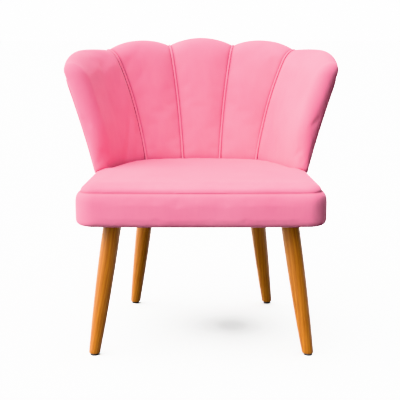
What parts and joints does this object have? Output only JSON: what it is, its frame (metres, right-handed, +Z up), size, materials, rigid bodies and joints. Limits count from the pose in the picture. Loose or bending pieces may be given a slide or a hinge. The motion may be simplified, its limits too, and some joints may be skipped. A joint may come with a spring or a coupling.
{
  "type": "upholstered tub armchair",
  "caption": "Low tub armchair with a padded D-shaped seat, a wrap-round scalloped back of piped channels and splayed round wooden legs",
  "frame": {"origin": "On the floor, under the middle of the chair's overall box in plan", "axes": "+Z up, -Y to the front of the seat, +X to the right as seen from the front"},
  "size_m": [0.7228, 0.629, 0.777],
  "materials": {
    "velvet": "matte",
    "velvet_shade": "matte",
    "piping_velvet": "matte",
    "foam": "matte",
    "wadding": "matte",
    "timber": "matte",
    "plywood": "matte",
    "hardboard": "matte",
    "leg_wood": "satin",
    "zinc_steel": "satin",
    "glide_plastic": "satin",
    "black_cloth": "matte",
    "webbing": "matte"
  },
  "bodies": {
    "root": {"seat_rail_front": "timber", "seat_rail_left": "timber", "seat_rail_right": "timber", "seat_rail_rear": "timber", "corner_block_front_left": "timber", "corner_block_front_right": "timber", "corner_block_rear_left": "timber", "corner_block_rear_right": "timber", "leg_tee_nuts": "zinc_steel", "hanger_bolts": "zinc_steel", "leg_front_left": "leg_wood", "leg_front_right": "leg_wood", "leg_rear_left": "leg_wood", "leg_rear_right": "leg_wood", "glide_front_left": "glide_plastic", "glide_front_right": "glide_plastic", "glide_rear_left": "glide_plastic", "glide_rear_right": "glide_plastic", "webbing_lengthwise": "webbing", "webbing_crosswise": "webbing", "webbing_liner": "black_cloth", "seat_foam": "foam", "seat_top_cover": "velvet", "seat_border": "velvet_shade", "dust_cover": "black_cloth", "dust_cover_staples": "zinc_steel", "back_bolts": "zinc_steel", "back_bolt_washers": "zinc_steel", "back_tee_nuts": "zinc_steel", "back_rail_bottom": "plywood", "back_rail_middle": "plywood", "back_rail_top": "plywood", "back_post_left_wing": "timber", "back_post_left_outer": "timber", "back_post_left_inner": "timber", "back_post_right_inner": "timber", "back_post_right_outer": "timber", "back_post_right_wing": "timber", "back_lining": "hardboard", "back_wadding": "wadding", "channel_foam_left_outer": "foam", "channel_foam_left_inner": "foam", "channel_foam_centre": "foam", "channel_foam_right_inner": "foam", "channel_foam_right_outer": "foam", "channel_cover_left_outer": "velvet", "channel_cover_left_inner": "velvet", "channel_cover_centre": "velvet", "channel_cover_right_inner": "velvet", "channel_cover_right_outer": "velvet", "piping_left_outer": "piping_velvet", "piping_left_inner": "piping_velvet", "piping_right_inner": "piping_velvet", "piping_right_outer": "piping_velvet", "edge_piping": "piping_velvet", "outer_back_cover": "velvet_shade"}
  },
  "joints": []
}
